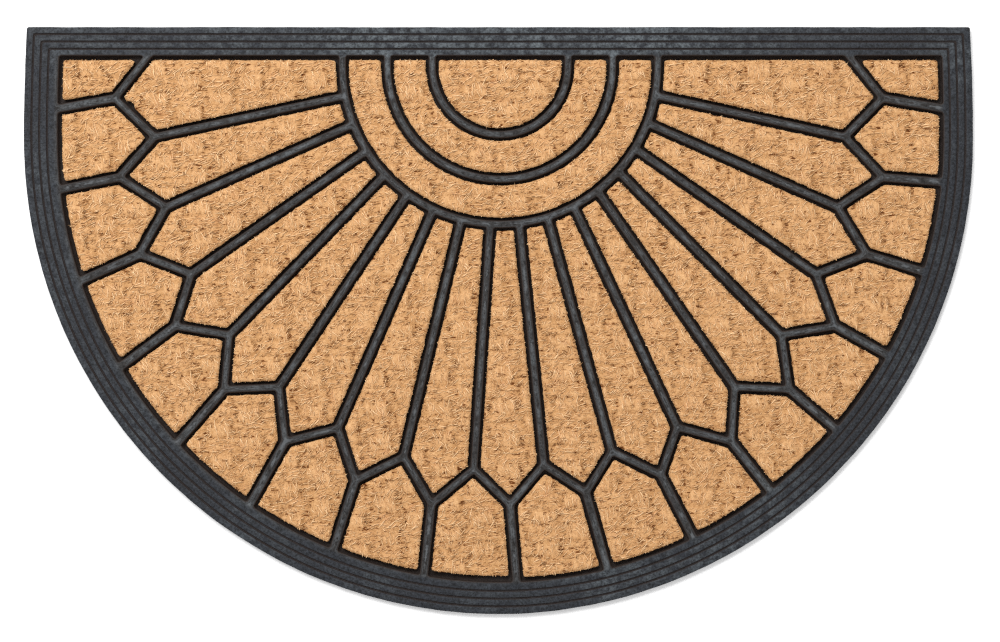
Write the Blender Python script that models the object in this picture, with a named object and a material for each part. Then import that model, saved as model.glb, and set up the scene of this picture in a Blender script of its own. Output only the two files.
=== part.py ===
"""Half-round coir doormat: a moulded rubber tray whose sunburst of ribs frames 38 coir panels.

Units are metres and +Z is up. The mat lies on Z = 0 with its straight edge toward +Y, and the
origin is the middle of its outline on the floor. Angles of the pattern are measured from
straight down (-Y), positive toward +X.
"""
from math import acos, atan2, ceil, cos, radians, sin, tan

import bmesh
import bpy
from mathutils import Vector

# Outline of the mat
MAT_WIDTH = 0.750
EDGE_RADIUS = MAT_WIDTH / 2
CENTRE_DROP = 0.0889                       # straight edge to the centre of the round edge
MAT_DEPTH = CENTRE_DROP + EDGE_RADIUS
SIDE_TAPER = 0.0024                        # each side draws in by this at the straight edge
TOP_EDGE_Y = MAT_DEPTH / 2
EDGE_CENTRE = Vector((0.0, TOP_EDGE_Y - CENTRE_DROP))
OUTLINE_STEPS = 96

# Heights
BASE_THICKNESS = 0.0025
RUBBER_HEIGHT = 0.0080
EDGE_HEIGHT = 0.0064                       # the border falls to this at the outer edge
EDGE_ROUND = 0.0010
COIR_HEIGHT = 0.0085
SEAT_GAP = 0.0003

# Border, with its three grooves
BORDER_WIDTH = 0.0245
TOP_BORDER_WIDTH = 0.0230
GROOVE_COUNT = 3
GROOVE_PITCH = 0.0062
GROOVE_HALF_WIDTH = 0.0009
GROOVE_DEPTH = 0.0013
LAST_BAND_END = 0.0225                     # past this the border runs level into the ribs

# Field of panels inside the border
FIELD_INSET = 0.0011                       # how much further in than the border's width it starts
FIELD_SHIFT = 0.0016                       # how far off the middle it lies, toward +X

# Ribs: half widths at the top, at the shoulder and at the foot
RIB_TOP = 0.0022
RIB_SHOULDER = 0.0029
RIB_FOOT = 0.0032
SHOULDER_DROP = 0.0011
OUTER_RIB_EXTRA = 0.0005                   # the short ribs at the border are this much wider

# Coir panels: how far their edge stands back
COIR_FROM_RIB = 0.0052                     # from a rib's centre line
COIR_FROM_BORDER = 0.0034                  # from the border's inner edge
COIR_SHOULDER = 0.0011
COIR_CORNER = 0.0018                       # radius of a panel's cut corners
SHORT_PANEL = "coir_panel_09"              # this one was cut short at the border
SHORT_PANEL_TRIM = 0.0014
SHARPEST_BEND = radians(20)                # a corner that turns less stays as it is

# Rings of the sunburst
RING_CENTRE = Vector((0.0013, TOP_EDGE_Y - 0.0315))
RING_RADII = (0.0536, 0.0889, 0.1245)
RING_STEP = radians(5)

# Fan of rays. Spokes and knees lie between the rays, peaks and outer ribs on them.
RAY_COUNT = 17
FAN_CENTRE = Vector((-0.0007, TOP_EDGE_Y - 0.0797))
RAY_PITCH = radians(11.8)
KNEE_RADIUS = 0.2725
PEAK_RADIUS = 0.3040
FOOT_PITCH = radians(180 / RAY_COUNT)      # along the outer ring
END_PITCH = radians(12)                    # along the border
LAST_END_ANGLE = radians(94.0)
END_TURN = radians(0.45)                   # all but the last outer ribs end this far round toward +X
TOP_ZIGZAG_X = 0.2765                      # where the zigzag meets the straight border
LEAN = 0.028                               # the fan leans to +X by this much for each metre down
LEAN_FROM_Y = TOP_EDGE_Y - 0.0245
EDGE_STEP = radians(3)

# The zigzag is flatter near the bottom middle: its corners are drawn in there
PEAK_DRAWN_IN = 0.0098
KNEE_DRAWN_IN = 0.0054
DRAWN_MIDDLE = 0.9                         # in rays from the middle ray, toward +X
DRAWN_REACH = 2.2                          # in rays, to where it has faded out

RUBBER_COLOUR = (0.050, 0.054, 0.062, 1.0)
COIR_COLOUR = (0.617, 0.337, 0.153, 1.0)


def clear_scene():
    for old in list(bpy.data.objects):
        bpy.data.objects.remove(old, do_unlink=True)


def make_material(name, colour, roughness):
    material = bpy.data.materials.new(name)
    material.use_nodes = True
    shader = material.node_tree.nodes["Principled BSDF"]
    shader.inputs["Base Color"].default_value = colour
    shader.inputs["Roughness"].default_value = roughness
    shader.inputs["Metallic"].default_value = 0.0
    material.diffuse_color = colour
    return material


def polar(centre, radius, angle):
    return centre + radius * Vector((sin(angle), -cos(angle)))


def heading(centre, point):
    """Angle of a point about a centre."""
    offset = point - centre
    return atan2(offset.x, -offset.y)


def leaned(point):
    return Vector((point.x + LEAN * (LEAN_FROM_Y - point.y), point.y))


def steps_between(start, end, longest):
    """Angles from start to end, both included, no further apart than longest."""
    count = max(1, ceil(abs(end - start) / longest - 0.01))
    return [start + (end - start) * number / count for number in range(count + 1)]


def edge_point(angle, inset):
    """Point of the round edge, or of the side above its centre, moved in by inset."""
    radius = EDGE_RADIUS - inset
    height = -radius * cos(angle)
    if height <= 0:
        return EDGE_CENTRE + Vector((radius * sin(angle), height))
    side = radius - SIDE_TAPER * (height / CENTRE_DROP) ** 2
    return EDGE_CENTRE + Vector((side if angle > 0 else -side, height))


def border_inset(angle):
    """How far in the border's inner edge lies at an angle."""
    return BORDER_WIDTH + FIELD_INSET - FIELD_SHIFT * sin(angle)


def field_limit(side):
    """Angle at which the border's inner edge meets the straight border, on one side."""
    angle = corner_angle(BORDER_WIDTH, TOP_BORDER_WIDTH)
    return side * corner_angle(border_inset(side * angle), TOP_BORDER_WIDTH)


def corner_angle(inset, top_inset):
    """Angle at which the side meets the straight edge moved in by top_inset."""
    return acos(-(CENTRE_DROP - top_inset) / (EDGE_RADIUS - inset))


def outline(inset, top_inset):
    """The mat's outline moved inwards, counter-clockwise from the corner at -X."""
    limit = corner_angle(inset, top_inset)
    return [
        edge_point(limit * (2 * number / OUTLINE_STEPS - 1), inset)
        for number in range(OUTLINE_STEPS + 1)
    ]


def border_profile():
    """Stations of the border from its foot inwards: (distance in, height)."""
    def surface(distance):
        return EDGE_HEIGHT + (RUBBER_HEIGHT - EDGE_HEIGHT) * distance / LAST_BAND_END

    stations = [(0.0, 0.0), (0.0, EDGE_HEIGHT - EDGE_ROUND), (EDGE_ROUND, surface(EDGE_ROUND))]
    for number in range(GROOVE_COUNT):
        middle = GROOVE_PITCH * (number + 1)
        near, far = middle - GROOVE_HALF_WIDTH, middle + GROOVE_HALF_WIDTH
        stations += [
            (near, surface(near)), (middle, surface(middle) - GROOVE_DEPTH), (far, surface(far)),
        ]
    return stations + [(LAST_BAND_END, RUBBER_HEIGHT)]


def solid_from_loops(name, loops):
    """Closed mesh through a stack of loops, each the same count of (x, y, z) points."""
    shape = bmesh.new()
    rings = [[shape.verts.new(point) for point in loop] for loop in loops]
    count = len(rings[0])
    for lower, upper in zip(rings, rings[1:]):
        for number in range(count):
            after = (number + 1) % count
            shape.faces.new((lower[number], lower[after], upper[after], upper[number]))
    shape.faces.new(list(reversed(rings[0])))
    shape.faces.new(rings[-1])
    mesh = bpy.data.meshes.new(name)
    shape.to_mesh(mesh)
    shape.free()
    return mesh


def at_height(points, height):
    return [(point.x, point.y, height) for point in points]


def knee(number):
    """Point number of the zigzag's inner corners, 0 to RAY_COUNT - 2."""
    return zigzag_corner(number - (RAY_COUNT - 2) / 2, KNEE_RADIUS, KNEE_DRAWN_IN)


def peak(number):
    """Point number of the zigzag's outer corners, 0 to RAY_COUNT - 1."""
    return zigzag_corner(number - (RAY_COUNT - 1) / 2, PEAK_RADIUS, PEAK_DRAWN_IN)


def zigzag_corner(place, radius, drawn_in):
    """Corner of the zigzag, place rays from the middle one toward +X."""
    off = min(abs(place - DRAWN_MIDDLE) / DRAWN_REACH, 1.0)
    radius -= drawn_in * cos(radians(90) * off) ** 2
    return leaned(polar(FAN_CENTRE, radius, place * RAY_PITCH))


def foot_angle(number):
    """Angle about the ring centre at which spoke number leaves the outer ring."""
    even = (number - (RAY_COUNT - 2) / 2) * FOOT_PITCH
    return heading(RING_CENTRE, leaned(polar(RING_CENTRE, RING_RADII[-1], even)))


def end_angle(number):
    """Angle about the edge centre at which outer rib number meets the border."""
    even = (number - (RAY_COUNT - 1) / 2) * END_PITCH
    if number == 0 or number == RAY_COUNT - 1:
        return LAST_END_ANGLE if even > 0 else -LAST_END_ANGLE
    inner_radius = EDGE_RADIUS - BORDER_WIDTH
    return heading(EDGE_CENTRE, leaned(polar(EDGE_CENTRE, inner_radius, even))) + END_TURN


def arc(centre, radius, start, end, longest, kind):
    return [(polar(centre, radius, angle), kind) for angle in steps_between(start, end, longest)]


def border_run(start, end):
    """Points of the border's inner edge between two angles."""
    return [(edge_point(a, border_inset(a)), "border") for a in steps_between(start, end, EDGE_STEP)]


def top_point(x):
    return Vector((x, TOP_EDGE_Y - TOP_BORDER_WIDTH))


def ring_side(radius, side):
    """Where a ring, run straight up from its centre's level, meets the straight border."""
    return top_point(RING_CENTRE.x + side * radius)


def half_disc_cell():
    radius = RING_RADII[0]
    quarter = radians(90)
    turn = arc(RING_CENTRE, radius, -quarter, quarter, RING_STEP, "rib")
    return [(ring_side(radius, -1), "rib")] + turn + [(ring_side(radius, 1), "border")]


def band_cell(inner, outer):
    quarter = radians(90)
    away = arc(RING_CENTRE, outer, -quarter, quarter, RING_STEP, "rib")
    back = arc(RING_CENTRE, inner, quarter, -quarter, RING_STEP, "rib")
    return (
        [(ring_side(outer, -1), "rib")] + away + [(ring_side(outer, 1), "border")]
        + [(ring_side(inner, 1), "rib")] + back + [(ring_side(inner, -1), "border")]
    )


def ray_cell(number):
    """Ray number, 0 to RAY_COUNT - 1; the first and the last lie along the straight border."""
    quarter = radians(90)
    first, last = number == 0, number == RAY_COUNT - 1
    start = -quarter if first else foot_angle(number - 1)
    end = quarter if last else foot_angle(number)
    cell = []
    if first:
        cell += [(ring_side(RING_RADII[-1], -1), "border"), (top_point(-TOP_ZIGZAG_X), "rib")]
    else:
        cell += [(knee(number - 1), "rib")]
    cell += [(peak(number), "rib")]
    if last:
        cell += [(top_point(TOP_ZIGZAG_X), "border"), (ring_side(RING_RADII[-1], 1), "rib")]
    else:
        cell += [(knee(number), "rib")]
    return cell + arc(RING_CENTRE, RING_RADII[-1], end, start, RING_STEP, "rib")


def outer_cell(number):
    """Panel between outer ribs number - 1 and number; 0 and RAY_COUNT are the corner ones."""
    if number == 0:
        side = border_run(field_limit(-1), end_angle(0))
        return mark_last(side, "outer_rib") + [
            (peak(0), "rib"), (top_point(-TOP_ZIGZAG_X), "border"),
        ]
    if number == RAY_COUNT:
        side = border_run(end_angle(RAY_COUNT - 1), field_limit(1))
        return side + [(top_point(TOP_ZIGZAG_X), "rib"), (peak(RAY_COUNT - 1), "outer_rib")]
    run = border_run(end_angle(number - 1), end_angle(number))
    return mark_last(run, "outer_rib") + [
        (peak(number), "rib"), (knee(number - 1), "rib"), (peak(number - 1), "outer_rib"),
    ]


def mark_last(run, kind):
    """The same run of points, with another kind of edge leaving its last point."""
    return run[:-1] + [(run[-1][0], kind)]


def all_cells():
    """Every cell of the pattern, counter-clockwise: name -> [(corner, edge that leaves it)]."""
    cells = {
        "coir_half_disc": half_disc_cell(),
        "coir_band_inner": band_cell(RING_RADII[0], RING_RADII[1]),
        "coir_band_outer": band_cell(RING_RADII[1], RING_RADII[2]),
    }
    for number in range(RAY_COUNT):
        cells[f"coir_ray_{number + 1:02d}"] = ray_cell(number)
    for number in range(RAY_COUNT + 1):
        cells[f"coir_panel_{number + 1:02d}"] = outer_cell(number)
    return cells


def inset_cell(cell, from_rib, from_border):
    """Corners of a cell with each edge moved in by the distance that its kind asks for."""
    distance = {
        "rib": from_rib, "outer_rib": from_rib + OUTER_RIB_EXTRA, "border": from_border,
    }
    moved = []
    for number, (corner, kind) in enumerate(cell):
        before, kind_before = cell[number - 1]
        after = cell[(number + 1) % len(cell)][0]
        along_in = (corner - before).normalized()
        along_out = (after - corner).normalized()
        normal_in = Vector((-along_in.y, along_in.x))
        normal_out = Vector((-along_out.y, along_out.x))
        turn = normal_in.x * normal_out.y - normal_in.y * normal_out.x
        reach_in = distance[kind_before] + normal_in.dot(corner)
        reach_out = distance[kind] + normal_out.dot(corner)
        if abs(turn) < 1e-6:
            moved.append(corner + normal_out * distance[kind])
            continue
        moved.append(Vector((
            (reach_in * normal_out.y - reach_out * normal_in.y) / turn,
            (reach_out * normal_in.x - reach_in * normal_out.x) / turn,
        )))
    return moved


def with_round_corners(points, radius):
    """The outline with each marked corner cut back to a start, a middle and an end point."""
    softened = []
    for number, corner in enumerate(points):
        to_before = points[number - 1] - corner
        to_after = points[(number + 1) % len(points)] - corner
        bend = to_before.angle(-to_after)
        if bend < SHARPEST_BEND:
            softened.append(corner)
            continue
        reach = min(radius * tan(bend / 2), 0.4 * to_before.length, 0.4 * to_after.length)
        start = corner + reach * to_before.normalized()
        end = corner + reach * to_after.normalized()
        softened += [start, (start + 2 * corner + end) / 4, end]
    return softened


def make_pocket_cutter(cells):
    """One hidden object with a tapered block for each pocket, wider at the mouth."""
    taper = RIB_SHOULDER - RIB_TOP
    mouth_rise = 0.001
    levels = [
        (BASE_THICKNESS, RIB_FOOT, RIB_FOOT - RIB_SHOULDER),
        (RUBBER_HEIGHT - SHOULDER_DROP, RIB_SHOULDER, 0.0),
        (RUBBER_HEIGHT, RIB_TOP, -taper),
        (RUBBER_HEIGHT + mouth_rise, RIB_TOP, -taper),
    ]
    joined = bmesh.new()
    for name, cell in cells.items():
        loops = [
            at_height(inset_cell(cell, from_rib, from_border), height)
            for height, from_rib, from_border in levels
        ]
        mesh = solid_from_loops(name + "_cutter", loops)
        joined.from_mesh(mesh)
        bpy.data.meshes.remove(mesh)
    mesh = bpy.data.meshes.new("pocket_cutter")
    joined.to_mesh(mesh)
    joined.free()
    cutter = bpy.data.objects.new("pocket_cutter", mesh)
    cutter.hide_render = True
    cutter.display_type = "WIRE"
    bpy.context.collection.objects.link(cutter)
    return cutter


def make_rubber_tray(cells, material, root):
    """Base, grooved border and ribs, moulded in one piece."""
    narrower = TOP_BORDER_WIDTH / BORDER_WIDTH
    loops = [
        at_height(outline(distance, distance * narrower), height)
        for distance, height in border_profile()
    ]
    tray = bpy.data.objects.new("rubber_tray", solid_from_loops("rubber_tray", loops))
    tray.data.materials.append(material)
    tray.parent = root
    bpy.context.collection.objects.link(tray)
    cutter = make_pocket_cutter(cells)
    cutter.parent = root
    pockets = tray.modifiers.new("pockets", "BOOLEAN")
    pockets.operation = "DIFFERENCE"
    pockets.solver = "EXACT"
    pockets.object = cutter
    return tray


def make_coir_panel(name, cell, material, root):
    """One cut piece of coir matting with a softened upper edge, on its pocket's floor."""
    levels = [
        (BASE_THICKNESS + SEAT_GAP, 0.0),
        (COIR_HEIGHT - COIR_SHOULDER, 0.0),
        (COIR_HEIGHT, COIR_SHOULDER),
    ]
    middle = sum((corner for corner, kind in cell), Vector((0.0, 0.0))) / len(cell)
    from_border = COIR_FROM_BORDER + (SHORT_PANEL_TRIM if name == SHORT_PANEL else 0.0)
    loops = []
    for height, shoulder in levels:
        points = inset_cell(cell, COIR_FROM_RIB + shoulder, from_border + shoulder)
        points = with_round_corners(points, COIR_CORNER)
        loops.append(at_height([point - middle for point in points], height))
    panel = bpy.data.objects.new(name, solid_from_loops(name, loops))
    panel.location = (middle.x, middle.y, 0.0)
    panel.data.materials.append(material)
    panel.parent = root
    bpy.context.collection.objects.link(panel)
    return panel


def main():
    clear_scene()
    root = bpy.data.objects.new("doormat", None)
    bpy.context.collection.objects.link(root)
    rubber = make_material("rubber", RUBBER_COLOUR, 0.62)
    coir = make_material("coir", COIR_COLOUR, 0.95)
    cells = all_cells()
    make_rubber_tray(cells, rubber, root)
    for name, cell in cells.items():
        make_coir_panel(name, cell, coir, root)


main()
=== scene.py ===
"""Looks of a half-round coir doormat: a moulded rubber tray whose sunburst of ribs frames 38 coir panels.

Units are metres and +Z is up. The mat lies on Z = 0 with its straight edge toward +Y. Every outline
comes from the solids: the tray's border, ribs and pockets, and the cut edge of each coir panel. The
rubber and the coir get their fine surface here, and strands of coir fibre grow on every panel.
"""
from math import ceil, radians, sqrt, tan

import bmesh
import bpy
import numpy as np
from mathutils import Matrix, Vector, noise
from mathutils.geometry import delaunay_2d_cdt
from mathutils.kdtree import KDTree


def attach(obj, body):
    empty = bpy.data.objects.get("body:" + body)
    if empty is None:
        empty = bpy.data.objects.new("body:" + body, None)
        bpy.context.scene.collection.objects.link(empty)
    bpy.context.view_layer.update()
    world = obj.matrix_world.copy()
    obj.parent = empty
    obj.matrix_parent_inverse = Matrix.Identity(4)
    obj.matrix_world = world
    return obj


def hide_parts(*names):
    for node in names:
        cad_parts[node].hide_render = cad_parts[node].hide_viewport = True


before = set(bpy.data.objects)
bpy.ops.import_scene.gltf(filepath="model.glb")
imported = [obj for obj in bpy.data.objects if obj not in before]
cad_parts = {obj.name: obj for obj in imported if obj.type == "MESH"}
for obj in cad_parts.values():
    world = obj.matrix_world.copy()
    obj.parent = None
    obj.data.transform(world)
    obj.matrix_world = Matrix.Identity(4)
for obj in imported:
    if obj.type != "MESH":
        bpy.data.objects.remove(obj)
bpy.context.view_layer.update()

MM = 0.001

# Reading and rounding outlines
SAME_PLACE_DIGITS = 6                   # decimals of a metre to which two corners are the same
LEVEL_TOLERANCE = 0.01 * MM
CLOSEST_POINTS = 0.3 * MM
SHARPEST_BEND = radians(20)             # an outline that bends less is a curve, not a corner
ROUNDED_SHARE = 0.9                     # the most of half a side that a rounded corner takes up
INSIDE_ONLY = 1                         # the triangulation keeps what lies within the outlines
SAME_POINT = 1e-9

# Heights of the solids that the finer surfaces meet
TRAY_FOOT = 0.0
POCKET_FLOOR = 2.5 * MM
COIR_FOOT = 2.8 * MM
RIB_HEIGHT = 8.0 * MM
EDGE_HEIGHT = 6.4 * MM                  # of the border at its outer edge

# Rubber border, measured inwards from its outer edge
FIELD_START = 22.5 * MM                 # past this the border runs level into the ribs
LAST_LAND = 1.6 * MM                    # the border's last points lie this far short of that
GROOVE_PITCH = 6.2 * MM
GROOVE_COUNT = 3
GROOVE_SECTION = (                      # (off the groove's middle, below the border), in millimetres
    (-1.15, 0.0), (-0.80, 0.14), (-0.45, 0.85), (-0.15, 1.30),
    (0.15, 1.30), (0.45, 0.85), (0.80, 0.14), (1.15, 0.0),
)
EDGE_SECTION = (                        # (in from the outer edge, height), in millimetres
    (0.35, 0.0), (0.0, 0.45), (0.0, 4.9), (0.12, 5.6), (0.45, 6.1), (1.0, 6.38),
)
OUTER_CORNER = 1.6 * MM
EDGE_WOBBLE = 0.22 * MM                 # how far the rim wanders off its true line
WOBBLE_SHORT = 12.0 * MM
WOBBLE_LONG = 45.0 * MM
LONG_WOBBLE_SHARE = 0.6                 # the long waves beside the short ones
BORDER_SPACING = 5.0 * MM
BORDER_STRETCH = 0.3                    # a side this share longer than the spacing is still one part
RIM_BESIDE_FIELD = 1.07                 # roughly, the size of the rim's outline beside the field's

# Rubber ribs
MOUTH_CORNER = 1.8 * MM
MOUTH_SPACING = 2.3 * MM
RIB_GRID = 1.45 * MM
RIB_CLEARANCE = 0.55                    # of the grid's pitch, kept free of points along every edge
RIB_CROWN = 0.34 * MM                   # how far a rib's middle stands above its edges
RIB_HALF_TOP = 2.2 * MM
RIB_FINISH_FROM = (0.5 * MM, 4.0 * MM)  # in from the border, where its finish turns into the ribs'
WALL_SECTION = (                        # (out from the rib's top edge, height), in millimetres
    (0.22, 7.90), (0.45, 7.62), (0.62, 7.20), (0.72, 6.60), (1.0, POCKET_FLOOR / MM),
)

# The crest value of the rubber: 0 in grooves and pockets, 1 along the middle of a rib; it also places the
# painted highlight along the ribs
EDGE_CREST = 0.2
LAND_CREST = 0.5
GROOVE_LIP_CREST = 0.35
CREST_RISES = (0.15, 0.95)              # between these shares of the way from a rib's edge to its middle

# Coir weave: one repeat across and one up, and the middle of one block of warp floats
WEFT_REPEAT = np.array((50.15, 1.13)) * MM
WARP_REPEAT = np.array((-2.25, 24.88)) * MM
BLOCK_MIDDLE = np.array((-3.2, 6.6)) * MM
BLOCK_WIDTH = 17.2 * MM
BLOCK_HEIGHT = 11.6 * MM
BLOCK_SOFTNESS = 1.1 * MM
WARPS_IN_BLOCK = 4
WEFTS_IN_REPEAT = 4
WARP_ARCH = 2.4                         # radians that a warp float bends over its block
WEFT_LIE = radians(19)                  # the twist of the yarn turns its strands off its own direction
WARP_LIE = radians(112)
LIE_DRIFT = radians(26)
LIE_DRIFT_SIZES = (8.0 * MM, 20.0 * MM)
LONG_LIE_SHARE = 0.7                    # the long drift beside the short one
YARN_RELIEF = 0.85 * MM
YARN_ROUNDNESS = 1.85                   # 2 would make each yarn's top a half circle
YARN_MIDDLE = 0.75                      # the level between the tops of the yarns and their joints
WARP_LIFT = 0.35 * MM
DIVE_DEPTH = 0.65 * MM                  # where a weft goes down beside a block of warps
DIVE_OFFSET = 1.2 * MM
DIVE_WIDTH = 2.6 * MM
DIVE_SOFTNESS = 2.0 * MM
LEFT_DIVE_SHARE = 0.55                  # the dive on a block's left beside the one on its right
WEAVE_DRIFT = 2.6 * MM                  # the weave wanders by up to about 0.7 of this
WEAVE_DRIFT_SIZE = 22.0 * MM
LUMP_RELIEF = 0.42 * MM
LUMP_SIZES = (5.5 * MM, 2.6 * MM)
SMALL_LUMP_SHARE = 0.8
MIDDLE_DEPTH = 0.35                     # the depth value at the weave's middle level
DEPTH_RANGE = 2.2 * YARN_RELIEF

# Coir panels
COIR_TOP = 8.35 * MM
COIR_EDGE_DROP = 1.15 * MM
COIR_EDGE_WIDTH = 2.0 * MM
EDGE_RELIEF = 0.35                      # share of the weave's relief that is left at the cut edge
COIR_GRID = 1.9 * MM
COIR_CLEARANCE = 0.6                    # of the grid's pitch, kept free of points along the edge
COIR_SPACING = 1.25 * MM
COIR_RAGGED = 0.42 * MM                 # how far the cut edge wanders in and out
RAGGED_SIZES = (1.9 * MM, 6.0 * MM)
LONG_RAGGED_SHARE = 0.8
SIDE_DEPTH = 0.8                        # the depth value of a panel's sides, which paints shade on them
SIDE_MIDDLE = 5.2 * MM
FOOT_INSET = 0.2 * MM
STRAY_STRIP = (2.5 * MM, 1.0 * MM)      # in from the edge: no stray hairs past the first
ROOM_AT_EDGE = 0.22                     # strands that start at the edge are this share as long
ROOM_REACH = 5.0 * MM
CHIP_PLACE = np.array((-291.0, 169.4)) * MM     # a bite out of one panel's edge
CHIP_REACH = 3.7 * MM

# Coir strands: how many on a square metre, and the sizes of one
STRANDS = {
    "Grows on": "pile", "Density": 100000.0, "Points": 4, "Length": 6.6 * MM, "Radius": 0.35 * MM,
    "Spread": radians(28), "Arch": 0.60 * MM, "Wiggle": 1.5 * MM, "Lift": 0.40 * MM,
}
FUZZ = {
    "Grows on": "pile", "Density": 112000.0, "Points": 3, "Length": 4.0 * MM, "Radius": 0.28 * MM,
    "Spread": radians(75), "Arch": 0.80 * MM, "Wiggle": 1.6 * MM, "Lift": 0.50 * MM,
}
STRAYS = {
    "Grows on": "rim", "Density": 5000.0, "Points": 6, "Length": 9.0 * MM, "Radius": 0.12 * MM,
    "Spread": radians(180), "Arch": 1.2 * MM, "Wiggle": 4.0 * MM, "Lift": 0.3 * MM,
}
FIBRE_SOCKETS = (
    ("Grows on", "NodeSocketString"), ("Density", "NodeSocketFloat"), ("Points", "NodeSocketInt"),
    ("Length", "NodeSocketFloat"), ("Radius", "NodeSocketFloat"), ("Spread", "NodeSocketFloat"),
    ("Arch", "NodeSocketFloat"), ("Wiggle", "NodeSocketFloat"), ("Lift", "NodeSocketFloat"),
    ("Seed", "NodeSocketInt"),
)
LENGTH_SHARES = (0.55, 1.45)            # the shortest and longest strand beside the length given
GIRTH_SHARES = (0.75, 1.25)             # the thinnest and thickest beside the radius given
TIP_SHARE = 0.3                         # a strand's girth at its ends beside its middle
LEAST_ARCH = 0.2
LIFTED_ABOVE = 0.45                     # a strand is lifted where its hump is more, else tucked in
BEND_SCALE = 260.0
BEND_VARIETY = 9.0                      # how far apart in the noise strands of unlike tone lie
DROP_HEIGHT = 10.0 * MM                 # strands are laid down on the coir from this far above

# Rubber finish: noise scales in features for each metre, and how much of each effect shows
SPECKLE_SCALE = 560.0
BLOTCH_SCALE = 150.0
DUST_SCALE = 13.0
# Streaks along the rib crests, partly wear and partly painted highlight
WEAR_AND_HIGHLIGHT_ALONG = 120.0
WEAR_AND_HIGHLIGHT_ACROSS = 2.2                       # features between a rib's edge and its middle
WEAR_AND_HIGHLIGHT_SHOWS = 0.60
DUST_AND_SHEEN_SHOWS = 0.62
SHEEN_EDGE_RANGE = (0.165, 0.215)             # the Y over which a painted sheen comes in at the straight edge
SHEEN_MIDDLE_RANGE = (0.10, 0.30)             # how far off the middle of that edge it fades out
FRESH_BORDER = (0.0016, 0.0020, 0.0030, 1)
FRESH_RIB = (0.0024, 0.0016, 0.0014, 1)
SCUFFED_BORDER = (0.0215, 0.0250, 0.0320, 1)
SCUFFED_RIB = (0.0215, 0.0190, 0.0182, 1)
CHANNEL_RUBBER = (0.0210, 0.0130, 0.0100, 1)
# pale grey for dust, and for the painted sheen at the straight edge
DUST_AND_SHEEN = (0.085, 0.100, 0.110, 1)
# pale rubber for wear and for the painted highlight on the rib crests
WEAR_AND_HIGHLIGHT_COLOUR = (0.105, 0.115, 0.124, 1)

# Coir finish, with painted shadow in the gaps between strands
GAP_SCALE = 600.0
GAP_STRETCH = 0.34                      # less is longer along the strands of the wefts
GAP_CLUSTER_SCALE = 240.0
GAP_CLUSTERING = 0.40
GAP_BOUNDS = (0.41, 0.55)               # a gap is full below the first and gone above the second
GAPS_IN_DEPTH = 0.20                    # the painted shadow of the gaps between strands gathers where the weave lies deep
GAP_SHADE = (0.26, 0.145, 0.072, 1)
STRAND_GAP_SHADOW = 0.85
MATTING_GRAIN = 900.0
# the coir under the strands, a little darker as painted shade under them
MATTING_COLOURS = (
    (0.0, (0.16, 0.070, 0.023)), (0.45, (0.43, 0.226, 0.092)), (1.0, (0.705, 0.432, 0.219)),
)
STRAND_PATCHES = 60.0
STRAND_FLECKS = 850.0
STRAND_COLOURS = (
    (0.0, (0.325, 0.145, 0.048)), (0.25, (0.505, 0.275, 0.117)), (0.50, (0.665, 0.408, 0.200)),
    (0.78, (0.81, 0.547, 0.307)), (1.0, (0.90, 0.70, 0.465)),
)
RUSSET_PATCHES = 95.0
RUSSET = (0.68, 0.340, 0.155, 1)

# Camera, light and floor
CAMERA_HEIGHT = 2.0
FILTER_WIDTH = 1.25                     # in pixels: a crisp picture
SENSOR_WIDTH = 36.0
VIEW_WIDTH = 0.789                      # what the picture's width takes in at the mat
VIEW_MIDDLE = (0.0012, -0.0003)
WORLD_STRENGTH = 0.98
SOFTBOX_WIDTH = 1.6
SOFTBOX_LENGTH = 1.0
SOFTBOX_POWER = 60.0
SOFTBOX_PLACE = (-0.7, 1.3, 2.1)
FLOOR_WIDTH = 8.0
FLOOR_DROP = 0.2 * MM                   # the floor lies this far below the mat's underside
FLOOR_TONES = ((0.86, 0.86, 0.86, 1), (0.90, 0.90, 0.90, 1))


def flat_loops(node, height):
    """Outlines of a solid's level faces at one height, each an array of (x, y) corners."""
    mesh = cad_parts[node].data
    keys = [tuple(round(value, SAME_PLACE_DIGITS) for value in vertex.co) for vertex in mesh.vertices]
    sides = set()
    for face in mesh.polygons:
        ring = [keys[number] for number in face.vertices]
        if any(abs(corner[2] - height) > LEVEL_TOLERANCE for corner in ring):
            continue
        for start, end in zip(ring, ring[1:] + ring[:1]):
            if (end, start) in sides:
                sides.remove((end, start))
            else:
                sides.add((start, end))
    following = dict(sorted(sides))
    loops = []
    while following:
        first, point = following.popitem()
        ring = [first]
        while point != first:
            ring.append(point)
            point = following.pop(point)
        loops.append(counter_clockwise(np.array(ring)[:, :2]))
    return loops


def signed_area(loop):
    after = np.roll(loop, -1, axis=0)
    return 0.5 * np.sum(loop[:, 0] * after[:, 1] - loop[:, 1] * after[:, 0])


def counter_clockwise(loop):
    return loop if signed_area(loop) > 0 else loop[::-1]


def side_lengths(loop):
    return np.linalg.norm(np.roll(loop, -1, axis=0) - loop, axis=1)


def softened(corners, radius, steps=4):
    """Closed outline whose corners are rounded to a radius and whose slight bends are curves."""
    curve = []
    for number, corner in enumerate(corners):
        to_before = corners[number - 1] - corner
        to_after = corners[(number + 1) % len(corners)] - corner
        before, after = np.linalg.norm(to_before), np.linalg.norm(to_after)
        bend = Vector(to_before).angle(-Vector(to_after))
        reach = 0.5 * min(before, after)
        if bend > SHARPEST_BEND:
            reach = min(ROUNDED_SHARE * reach, radius * tan(bend / 2))
        start = corner + to_before / before * reach
        end = corner + to_after / after * reach
        for share in np.linspace(0, 1, steps):
            curve.append((1 - share) ** 2 * start + 2 * share * (1 - share) * corner + share ** 2 * end)
    return np.array([
        point for number, point in enumerate(curve)
        if np.linalg.norm(point - curve[number - 1]) > CLOSEST_POINTS
    ])


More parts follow.
